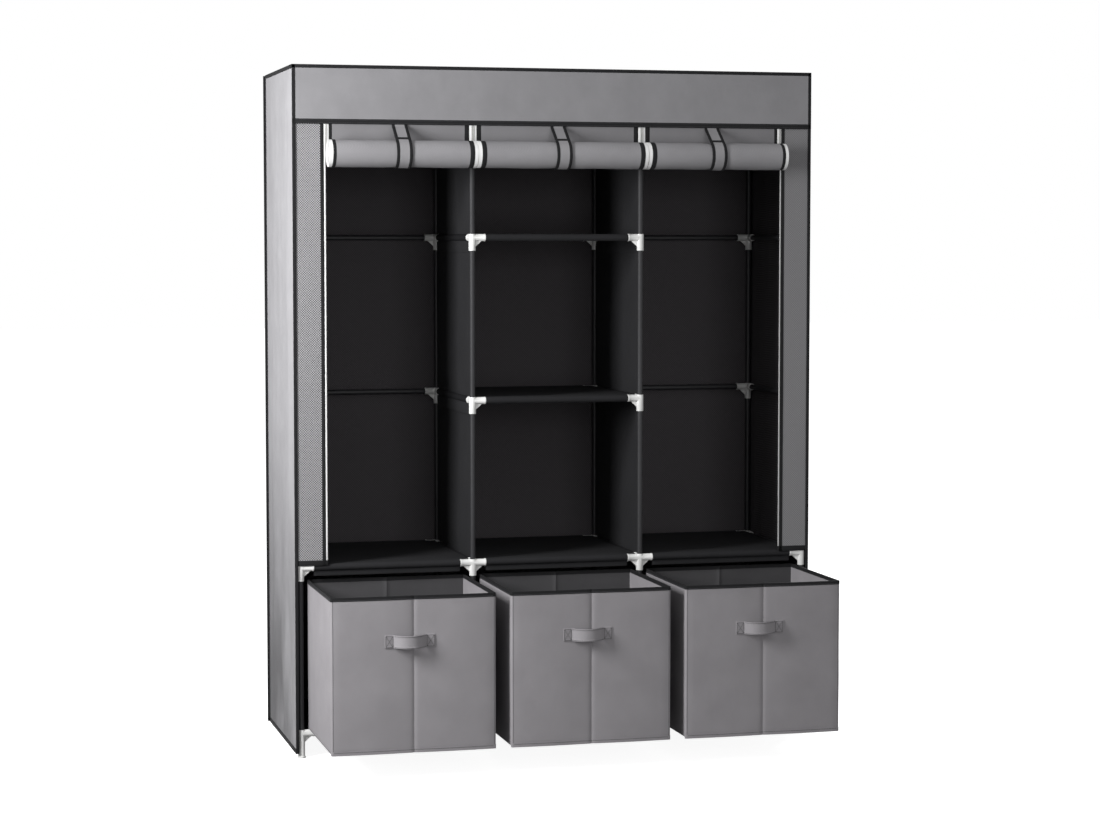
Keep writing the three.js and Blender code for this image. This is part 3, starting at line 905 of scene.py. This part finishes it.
low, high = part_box("cover_header_flap")
left_edge, right_edge = low.x - tape_under, high.x + tape_under
front_y, under_y = low.y - tape_proud, high.y + tape_under
foot, roof = (left_edge, front_y, low.z - tape_under), (right_edge, under_y, high.z + tape_under)
header_tapes = edge_boxes(foot, roof, top=tape_width, bottom=header_band + tape_under)
foot, roof = (left_edge, front_y, low.z), (right_edge, under_y, high.z)
header_tapes += edge_boxes(foot, roof, left=tape_width, right=tape_width)
seam_ends = left_edge + tape_width, right_edge - tape_width
seam_heights = [low.z + header_band * share for share in header_seams]
seams = [[(x, front_y, height) for x in seam_ends] for height in seam_heights]
bound("header_binding", "cover_header_flap", header_tapes, seams)

low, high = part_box("cover_top")
back_low, back_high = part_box("cover_back")
foot = (left_edge, low.y - front_lap, low.z - tape_under)
roof = (right_edge, back_high.y, high.z + tape_proud)
widths = {"left": tape_width, "right": tape_width, "front": tape_width + front_lap, "rear": tape_width}
bound("top_binding", "cover_top", edge_boxes(foot, roof, **widths))
foot = (left_edge, back_high.y - cover_thick - tape_under, back_low.z)
roof = (right_edge, back_high.y + tape_proud, back_high.z)
widths = {edge: tape_width for edge in ("left", "right", "top", "bottom")}
bound("back_binding", "cover_back", edge_boxes(foot, roof, **widths))
for side, inward in sides.items():
    low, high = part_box(f"cover_{side}_side")
    outer, inner = (low.x, high.x)[::inward]
    foot, roof = box_between(outer - inward * tape_proud, inner, low, high)
    side_tapes = edge_boxes(foot, roof, bottom=low_tape, top=tape_width, rear=rear_tape)
    outer -= inward * tape_under
    corner_low = Vector((0, low.y - corner_lap, low.z))
    corner_high = Vector((0, low.y + tape_under, high.z))
    side_tapes.append(box_between(outer, outer + inward * tape_width, corner_low, corner_high))
    seam_low = Vector((0, high.y - rear_seam_thick, low.z))
    side_tapes.append(box_between(outer, outer - inward * rear_seam, seam_low, high))
    bound(f"{side}_side_binding", f"cover_{side}_side", side_tapes)

# Front strips and zips. A strip of dotted cloth runs down each side of the opening. Its free edge is
# bound in black and carries one half of a white zip: a woven tape with a row of moulded teeth.
zip_widths = {"left": 0.0045, "right": 0.0030}
strip_binding = 0.0085
strip_band = 0.013
strip_dots = 0.0058
tooth_pitch = 0.0021
tooth_size = (0.0019, 0.0016, 0.0013)


def woven_tape(name, colour):
    material, tree, shader, place = finish_of(name, roughness=0.6, specular=0.3)
    ribs = node(tree, "TexWave", {"Vector": place, "Scale": 260.0, "Distortion": 0.6}, bands_direction="Z")
    surface = calc(tree, "MULTIPLY_ADD", ribs.outputs["Fac"], 0.5, grain(tree, place, 900))
    tinted(tree, shader, colour, 0.08, surface)
    raised(tree, shader, surface, 0.0002)
    return material


# Both strips are the same dotted cloth; the right one is set darker as painted shade, as it stands further
# from the light, and its dots are fainter.
strip_cloths = {
    "left": dotted_cloth("dotted_left_strip_cloth", (0.252, 0.249, 0.258), 0.80, strip_dots),
    "right": dotted_cloth("dotted_right_strip_cloth_painted_shade", (0.212, 0.210, 0.217), 0.20, strip_dots),
}
zip_tape = woven_tape("white_zip_tape", (0.78, 0.78, 0.78))
# The strips' and hanging doors' teeth are the white teeth greyed as painted shade of the crinkled coil;
# the rolled doors keep them white.
zip_teeth = white_plastic("zip_teeth_painted_shade", (0.46, 0.46, 0.45))


def tooth_row(spot, length, way=(0, 0, 1), size=tooth_size):
    """A zip's teeth, one after another from a place along a way."""
    step = Vector(way) * tooth_pitch
    tooth = rounded(block(Vector(spot) + step / 2, size), min(size) / 4, segments=1, angle=30)
    return settle(in_a_row(tooth, round(length / tooth_pitch), step), "teeth")


for side, inward in sides.items():
    node_name = f"cover_{side}_front_strip"
    low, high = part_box(node_name)
    outer, free_x = (low.x, high.x)[::inward]
    zip_x = free_x - inward * zip_widths[side]
    folds = [((0, 1, 0), 0.001, (0.2, 1, 0.3), (0.02, 0, 0.05), 4.4 * inward)]
    ends = box_between(zip_x, outer, low, high)
    sheet = folded_sheet(f"{side}_strip_cloth", *ends, panel_cell, folds, cover_thick)
    proud_low = Vector((low.x, low.y - tape_proud, low.z))
    boxes = [box_between(zip_x, zip_x - inward * strip_binding, proud_low, high)]
    boxes += edge_boxes(proud_low, high, bottom=strip_band)
    tapes = bound(f"{side}_strip_binding", node_name, boxes)
    zip_low = Vector((low.x, low.y, low.z + strip_band))
    ribbon = tape(*box_between(free_x, zip_x, zip_low, high))
    first = (free_x - inward * tooth_size[0] / 2, low.y - tape_proud / 2, zip_low.z)
    teeth = tooth_row(first, high.z - zip_low.z)
    for piece, name, material in ((ribbon, "zip_tape", zip_tape), (teeth, "zip_teeth", zip_teeth)):
        piece.name = f"{side}_strip_{name}"
        belongs(piece, material, node_name)
    hung_sheet(sheet, strip_cloths[side], node_name)

# Doors. Each is a long sheet with zip tape and black binding down both sides. It hangs from the top
# behind the header and is rolled up from below, and one strap looped round the roll holds it.
roll_row = middle_of("middle_door_roll").y
roll_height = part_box("middle_door_sheet")[0].z
sheet_y = middle_of("middle_door_sheet").y
roll_radius = 0.0345
roll_core = 0.009
roll_pitch = 0.0034
roll_steps = 36
tuck = 0.010
tuck_back = 0.0004
outer_edge = (0.0074, 0.0080)
inner_edge = (0.0077, 0.0115)
door_tooth = (0.0034, 0.0016, 0.00206)
rolled_tooth = (0.0034, 0.00206, 0.0016)
tooth_overhang = 0.0011
bind_thick = 0.0016
press_depth = 0.0012
press_reach = 0.030
press_start = 0.004
roll_unevenness = 0.0016
roll_scale = Vector((9, 0.8, 0.8))
roll_bias = 0.1
roll_zone = 1.06
door_cell = 0.007
rolled_cell = 0.005
shade_from, shade_to = 1.34, 1.44
shade_left = 0.71
door_cloth = spun_cloth("grey_door_cloth", (0.262, 0.258, 0.269))
rolled_teeth = white_plastic("white_zip_teeth", (0.76, 0.76, 0.75))

# The hanging cloth is darker near the header, which keeps the light from it.
shaded_cloth = spun_cloth("grey_hanging_cloth", (0.262, 0.258, 0.269))
tree = shaded_cloth.node_tree
place = node(tree, "TexCoord").outputs["Object"]
darkened(tree, along(tree, place, "Z", shade_from, shade_to), shade_left)


def spiral():
    """The rolled sheet's middle line in [y, z], from behind the header to the core."""
    line = [(sheet_y, roll_height + tuck), (sheet_y - tuck_back, roll_height + tuck / 2)]
    turns = (roll_radius - roll_core) / roll_pitch
    for step in range(round(turns * roll_steps) + 1):
        angle = 2 * math.pi * step / roll_steps
        radius = roll_radius - cover_thick / 2 - roll_pitch * step / roll_steps
        line.append((roll_row + radius * math.cos(angle), roll_height - radius * math.sin(angle)))
    return line


def strip_of(x_low, x_high, length, thickness, cell, edge=0.0):
    """A flat strip that lies along Y, ready to be led along a line."""
    return tape((x_low, 0, -thickness / 2), (x_high, length, thickness / 2), cell, edge)


def line_length(line):
    return sum(math.dist(*step) for step in zip(line, line[1:]))


def led_along(piece, line, laid=lambda across, a, b: (across, a, b)):
    """Bends a flat strip so that its length follows a line and its thickness stays square to it."""
    line = [Vector(spot) for spot in line]
    starts = [line_length(line[: index + 1]) for index in range(len(line))]
    ends = [line[0], *line, line[-1]]
    ways = [(after - before).normalized() for before, after in zip(ends, ends[2:])]
    for point in piece.data.vertices:
        across, distance, out = point.co
        index = min(bisect_left(starts, distance, 1), len(line) - 1) - 1
        share = (distance - starts[index]) / (starts[index + 1] - starts[index])
        spot = line[index].lerp(line[index + 1], share)
        way = ways[index].lerp(ways[index + 1], min(max(share, 0), 1)).normalized()
        point.co = laid(across, spot.x + way.y * out, spot.y - way.x * out)
    pick(piece, lambda at: True)
    faced_outwards()


def pressed_in(piece, middle, seed):
    """Draws a roll in under its strap and makes it a little uneven along its length."""
    for point in piece.data.vertices:
        x, y, z = point.co
        away = Vector((y - roll_row, z - roll_height))
        if away.length < roll_radius * roll_zone:
            angle = away.normalized() if away.length else away
            under = math.exp(-(((x - middle) / press_reach) ** 2))
            where = Vector((x, angle.x, angle.y)) * roll_scale + Vector((seed, 0, 0))
            uneven = max(cloth_noise.noise(where) + roll_bias, 0)
            shrink = press_depth * under + roll_unevenness * uneven
            held = 1 - math.exp(-max(away.length - roll_core / 2, 0) / press_start)
            moved = away - angle * shrink * held
            point.co.y, point.co.z = roll_row + moved.x, roll_height + moved.y


def flattened(piece, door):
    """Gives a piece its own copy of its mesh."""
    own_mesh(piece)


def drawn_out(piece, door):
    """Puts the piece's place and turn into its mesh."""
    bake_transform(piece)


door_slots = {"cloth": "door_cloth", "binding": "black_cloth", "zip_tape": None, "zip_teeth": None}
door_looks = {
    "hanging": (shaded_cloth, tape_cloth, zip_tape, zip_teeth),
    "rolled": (door_cloth, tape_cloth, zip_tape, rolled_teeth),
}


def door_pieces(parts, door, state, node_name, body, moves):
    """Dresses a door's cloth, binding, zip tapes and teeth, and hands each to the step that readies its
    mesh.
    """
    for part, material, (name, slot) in zip(parts, door_looks[state], door_slots.items()):
        part.name = f"{door}_door_{state}_{name}"
        belongs(part, material, node_name, body)
        moves(part, door)


rolled_line = spiral()
rolled_length = line_length(rolled_line)
one_turn = 2 * math.pi * (roll_radius - cover_thick / 2)
for door in bays:
    low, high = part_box(f"{door}_door_sheet")
    middle = (low.x + high.x) / 2
    foot = low.z + tuck
    joins, zip_spans, bind_spans, teeth_x = [], [], [], []
    for side, edge in ((-1, low.x), (1, high.x)):
        at_a_strip = side == -sides.get(door, 0)
        zip_width, bind_width = outer_edge if at_a_strip else inner_edge
        join = edge - side * zip_width
        joins.append(join)
        zip_spans.append(sorted((join, edge)))
        bind_spans.append(sorted((join - side * bind_width, join)))
        overhang = 0 if at_a_strip else tooth_overhang
        teeth_x.append(edge + side * (overhang - door_tooth[0] / 2))

    folds = [((0, 1, 0), 0.0012, (0.15, 1, 0.1), (0.03, 0, 0.03), 6.0 + middle)]
    ends = (joins[0], low.y, foot), (joins[1], high.y, high.z)
    hanging = folded_sheet("hanging", *ends, door_cell, folds, cover_thick)
    y_low, y_high = low.y - tape_under, high.y + tape_under
    bindings = [tape((a, y_low, foot), (b, y_high, high.z), door_cell) for a, b in bind_spans]
    ribbons = [tape((a, low.y, foot), (b, high.y, high.z), door_cell) for a, b in zip_spans]
    teeth = [tooth_row((x, y_low, foot), high.z - foot, size=door_tooth) for x in teeth_x]
    trims = [gathered("trim", group) for group in (bindings, ribbons, teeth)]
    door_pieces([hanging, *trims], door, "hanging", f"{door}_door_sheet", None, drawn_out)

    rolled = strip_of(*joins, rolled_length, cover_thick, rolled_cell)
    bindings = [strip_of(*span, rolled_length, bind_thick, rolled_cell, tape_edge) for span in bind_spans]
    ribbons = [strip_of(*span, rolled_length, cover_thick, rolled_cell) for span in zip_spans]
    teeth = [tooth_row((x, tuck, cover_thick / 2), one_turn, (0, 1, 0), rolled_tooth) for x in teeth_x]
    trims = [gathered("trim", group) for group in (bindings, ribbons, teeth)]
    for part in (rolled, *trims):
        led_along(part, rolled_line)
        pressed_in(part, middle, middle * 5)
    door_pieces([rolled, *trims], door, "rolled", f"{door}_door_roll", f"{door}_door", flattened)

# Roll straps. A strap of the cover's cloth with black edges is sewn on behind the header. It hangs in
# front of the sheet, runs over the roll and under it, and goes up again behind the sheet.
strap_edge = 0.0074
strap_seam = 0.0085
strap_lift = 0.017
strap_lead = 0.003
strap_thick = 0.001
strap_trim_thick = 0.0015
strap_seam_thick = 0.0017
strap_overlap = 0.8
strap_sunk = 0.7
strap_trim_edge = 0.0003
strap_steps = 40
strap_cell = 0.004
seam_cell = 0.002
leave_angle = math.radians(30)
turn_up = 0.33
strap_cloth = spun_cloth("grey_strap_cloth", (0.262, 0.258, 0.268), dimples=0.0002)


def strap_path():
    """The strap's middle line in [y, z], and the place along it where it meets the roll."""
    header_low, header_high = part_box("cover_header_flap")
    strap_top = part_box("middle_roll_strap")[1].z
    loop = roll_radius + clear_gap + strap_thick / 2 - press_depth * strap_sunk
    front_y = header_high.y + clear_gap + strap_thick / 2
    rear_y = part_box("middle_door_sheet")[1].y + clear_gap + strap_thick / 2
    leave = header_low.z - strap_lead - roll_height
    away = front_y - roll_row
    start = math.atan2(leave, away) + math.acos(loop / math.hypot(away, leave))
    end = 2 * math.pi - leave_angle
    line = [(front_y, strap_top), (front_y, roll_height + leave)]
    for step in range(strap_steps + 1):
        angle = start + (end - start) * step / strap_steps
        line.append((roll_row + loop * math.cos(angle), roll_height + loop * math.sin(angle)))
    touch = line_length(line[:3])
    return line + [(rear_y, roll_height - loop * turn_up), (rear_y, strap_top)], touch


strap_line, touch = strap_path()
strap_length = line_length(strap_line)
for door in bays:
    node_name = f"{door}_roll_strap"
    low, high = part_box(node_name)
    inset = strap_edge * strap_overlap
    webbing = strip_of(low.x + inset, high.x - inset, strap_length, strap_thick, strap_cell)
    bands = [
        strip_of(*span, strap_length, strap_trim_thick, strap_cell, strap_trim_edge)
        for span in ((low.x, low.x + strap_edge), (high.x - strap_edge, high.x))
    ]
    inset = strap_edge / 2
    seam = strip_of(low.x + inset, high.x - inset, strap_seam, strap_seam_thick, seam_cell)
    seam.data.transform(Matrix.Translation((0, touch - strap_lift, 0)))
    trim = gathered(f"{door}_strap_edges", [*bands, seam])
    webbing.name = f"{door}_strap_webbing"
    for part, slot, material in ((webbing, "strap_cloth", strap_cloth), (trim, "black_cloth", tape_cloth)):
        led_along(part, strap_line)
        belongs(part, material, node_name)
        flattened(part, door)

# Bins. Three soft open boxes of grey cloth over stiff card stand on the bottom shelves. They are packed
# folded flat, which leaves a crease down the front and rear. The rim is bound in black tape.
bin_cuts = 27
bin_wall = 0.0026
bin_corner = 0.0045
rim_height = 0.008
rim_proud = 0.0006
rim_seam = 0.0022
hem_height = 0.006
hem_proud = 0.0005
hem_lift = 0.0008
hem_hang = 0.0045
hem_wall = 0.00075
hem_seam = 0.0036
facing_share = 0.7
crease_depth = 0.0022
crease_spread = 0.0034
crease_crowd = 0.78
panel_bow = 0.0028
belly = 0.0030
dent = 0.0016
dent_scale = 8
wall_share = 0.02
corner_steps = 4
corner_clear = 1.5
seam_inset = 0.0045
seam_stitch = 0.0005
bin_cloth = spun_cloth("grey_bin_cloth", (0.271, 0.260, 0.273), creases=0.0007)
# The inner front and rear walls are the same grey cloth; their dark colour is painted shade inside the
# bin.
bin_inside_painted_shade = spun_cloth("bin_inside_painted_shade_cloth", (0.062, 0.061, 0.064), creases=0.0007)


def hump(share):
    """0 at both ends of a span and beyond them, and 1 in its middle."""
    return max(0, math.sin(math.pi * min(max(share, 0), 1)))


def creased(piece, low, high):
    """Folds the front and rear down the middle, bows their halves and lets the sides belly a little."""
    middle, half_wide = (low.x + high.x) / 2, (high.x - low.x) / 2
    for point in piece.data.vertices:
        spot = point.co
        across = min(abs(spot.x - middle) / half_wide, 1)
        back = (spot.y - low.y) / (high.y - low.y)
        up = (spot.z - low.z) / (high.z - low.z)
        hold = hump(up)
        uneven = dent * cloth_noise.noise(spot * dent_scale) * hold
        fold = crease_depth * math.exp(-across * half_wide / crease_spread)
        fold -= panel_bow * math.sin(math.pi * across)
        if back < wall_share:
            point.co.y += fold + uneven
        elif back > 1 - wall_share:
            point.co.y -= fold + uneven
        if across > 1 - wall_share:
            side = 1 if spot.x > middle else -1
            point.co.x += side * (belly + uneven) * hold * hump(back)


def cloth_box(name, low, high, whole, wall, floor=False):
    """An open box, or a band round it, that follows the creases of the whole bin."""
    box = block((low + high) / 2, high - low)
    pick(box, lambda spot: spot.z > high.z - whisker)
    bpy.ops.mesh.delete(type="ONLY_FACE")
    if not floor:
        pick(box, lambda spot: spot.z < low.z + whisker)
        bpy.ops.mesh.delete(type="ONLY_FACE")
    bpy.ops.mesh.select_all(action="SELECT")
    bpy.ops.mesh.subdivide(number_cuts=bin_cuts)
    bpy.ops.object.mode_set(mode="OBJECT")
    middle, half_wide = (low.x + high.x) / 2, (high.x - low.x) / 2
    for point in box.data.vertices:
        across = (point.co.x - middle) / half_wide
        point.co.x = middle + half_wide * across * (1 - crease_crowd * (1 - abs(across)))
    creased(box, *whole)
    rounded(box, bin_corner, corner_steps)
    walled(box, wall)
    return settle(box, name)


def rows_round(low, high, height, out):
    """Rows of stitches round a bin at a height, which end before its corners."""
    left, right, front, rear = low.x - out, high.x + out, low.y - out, high.y + out
    inset = bin_corner * corner_clear
    across = [((left + inset, y, height), (right - inset, y, height)) for y in (front, rear)]
    return across + [((x, front + inset, height), (x, rear - inset, height)) for x in (left, right)]


for bay in bays:
    node_name = f"{bay}_bin"
    proud = Vector((rim_proud, rim_proud, 0))
    low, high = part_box(node_name)
    low, high = low + proud, high - proud
    whole = (low, high)
    body = f"{bay}_drawer"
    shell = cloth_box(f"{bay}_bin_walls", low, high, whole, bin_wall, floor=True)
    belongs(shell, bin_cloth, node_name, body)
    # Painted shade: the inner front and rear walls take the dark copy of the bin cloth.
    shell.data.materials.append(bin_inside_painted_shade)
    for face in shell.data.polygons:
        inward = face.normal.y * (low.y + high.y - 2 * face.center.y)
        if abs(face.normal.y) > facing_share and inward > 0:
            face.material_index = 1
    rim_low = Vector((low.x, low.y, high.z - rim_height)) - proud
    rim_top = high + proud + Vector((0, 0, rim_proud))
    rim = cloth_box(f"{bay}_bin_rim", rim_low, rim_top, whole, bin_wall + 2 * rim_proud)
    belongs(rim, tape_cloth, node_name, body)
    hem_out = Vector((hem_proud, hem_proud, 0))
    hem_high = Vector((high.x, high.y, low.z + hem_height)) + hem_out
    hem_low = low - hem_out + Vector((0, 0, hem_lift))
    hem = cloth_box(f"{bay}_bin_hem", hem_low, hem_high, whole, hem_wall)
    for point in hem.data.vertices:
        if point.co.z < low.z + hem_height / 2 and point.co.y < low.y + bin_wall:
            point.co.z -= hem_hang
    belongs(hem, bin_cloth, node_name, body)

    seams = rows_round(low, high, high.z - rim_height + rim_seam, rim_proud)
    seams += rows_round(low, high, low.z + hem_seam, hem_proud)
    upright_ends = low.z + hem_height, high.z - rim_height
    for x in (low.x + seam_inset, high.x - seam_inset):
        seams += [[(x, y, height) for height in upright_ends] for y in (low.y, high.y)]
    threads = gathered(f"{bay}_bin_stitching", [stitch_row(*row, seam_stitch) for row in seams])
    creased(threads, low, high)
    belongs(threads, grey_thread, node_name, body)

# Base boards. A loose board of grey card, a little smaller than the bin's floor, lies in each bin and
# keeps it in shape.
board_edge = 0.0008
board_cell = 0.02
board_folds = [((0, 0, 1), 0.0008, (0.2, 0.2, 1), (0.03, 0.03, 0), 2.0)]


def pressed_board(name, colour):
    material, tree, shader, place = finish_of(name, roughness=0.8, specular=0.2)
    fibres = calc(tree, "MULTIPLY_ADD", grain(tree, place, 340, 5), 0.7, grain(tree, place, 30))
    tinted(tree, shader, colour, 0.25, fibres)
    raised(tree, shader, fibres, 0.0002)
    return material


board_card = pressed_board("grey_pressed_board", (0.075, 0.075, 0.080))
for bay in bays:
    node_name = f"{bay}_bin_base_board"
    low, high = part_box(node_name)
    thickness = high.z - low.z - board_edge
    sheet = (low, high, board_cell, board_folds, thickness, board_edge)
    board = folded_sheet(f"{bay}_bin_loose_board", *sheet)
    belongs(board, board_card, node_name, f"{bay}_drawer")

# Handles. A strap of the bins' cloth, its edges folded in and stitched, stands out in a flat arch from
# each bin's front. Its ends are sewn down with a square and a cross of dark thread.
handle_thick = 0.0020
handle_fold = 0.0045
handle_fold_proud = 0.0004
handle_seam = 0.0022
handle_patch = 0.021
patch_inset = 0.0020
patch_sunk = 0.0002
handle_squareness = 2.3
handle_steps = 48
handle_cell = 0.003
handle_edge = 0.0005
fold_cell = 0.0025
handle_stitch = 0.00042
handle_thread = stitching("dark_handle_thread", (0.045, 0.045, 0.048))


def bin_front(bay, x):
    """Where the middle of a strap lies, sewn flat on the bin's bowed front."""
    low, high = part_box(f"{bay}_bin")
    half_wide = (high.x - low.x) / 2 - rim_proud
    bow = panel_bow * math.sin(math.pi * abs(x - (low.x + high.x) / 2) / half_wide)
    return low.y + rim_proud - handle_thick / 2 + patch_sunk - bow


def handle_line(bay, low, high):
    """The strap's middle line in [x, y]: its ends lie on the bin's front and the rest is an arch."""
    arch_low, arch_high = low.x + handle_patch, high.x - handle_patch
    bulge = high.y - low.y - handle_thick
    line = [(x, bin_front(bay, x)) for x in (low.x, low.x + handle_patch / 2)]
    for step in range(handle_steps + 1):
        share = step / handle_steps
        base = bin_front(bay, arch_low) * (1 - share) + bin_front(bay, arch_high) * share
        rise = bulge * (1 - abs(2 * share - 1) ** handle_squareness)
        line.append((arch_low * (1 - share) + arch_high * share, base - rise))
    return line + [(x, bin_front(bay, x)) for x in (high.x - handle_patch / 2, high.x)]


for bay in bays:
    node_name = f"{bay}_bin_handle"
    low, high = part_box(node_name)
    line = handle_line(bay, low, high)
    length = line_length(line)
    parts = [strip_of(low.z, high.z, length, handle_thick, handle_cell, handle_edge)]
    arch_start, arch_end = handle_patch, length - handle_patch
    thickness = handle_thick + 2 * handle_fold_proud
    for edge in ((low.z, low.z + handle_fold), (high.z - handle_fold, high.z)):
        fold = strip_of(*edge, arch_end - arch_start, thickness, fold_cell, tape_edge)
        fold.data.transform(Matrix.Translation((0, arch_start, 0)))
        parts.append(fold)
    strap = gathered(f"{bay}_handle_strap", parts)
    out = handle_thick / 2 + handle_stitch / 2
    fold_out = out + handle_fold_proud
    edges = low.z + handle_seam, high.z - handle_seam
    seams = [((edge, arch_start, fold_out), (edge, arch_end, fold_out)) for edge in edges]
    for start in (0, arch_end):
        ends = start + patch_inset, start + handle_patch - patch_inset
        square = [(edges[0], ends[0]), (edges[1], ends[0]), (edges[1], ends[1]), (edges[0], ends[1])]
        for a, b in ((0, 1), (1, 2), (2, 3), (3, 0), (0, 2), (1, 3)):
            seams.append(((*square[a], out), (*square[b], out)))
    threads = gathered(f"{bay}_handle_stitching", [stitch_row(*row, handle_stitch) for row in seams])
    for part in (strap, threads):
        led_along(part, line, laid=lambda across, a, b: (a, b, across))
    belongs(strap, bin_cloth, node_name, f"{bay}_drawer")
    belongs(threads, handle_thread, node_name, f"{bay}_drawer")
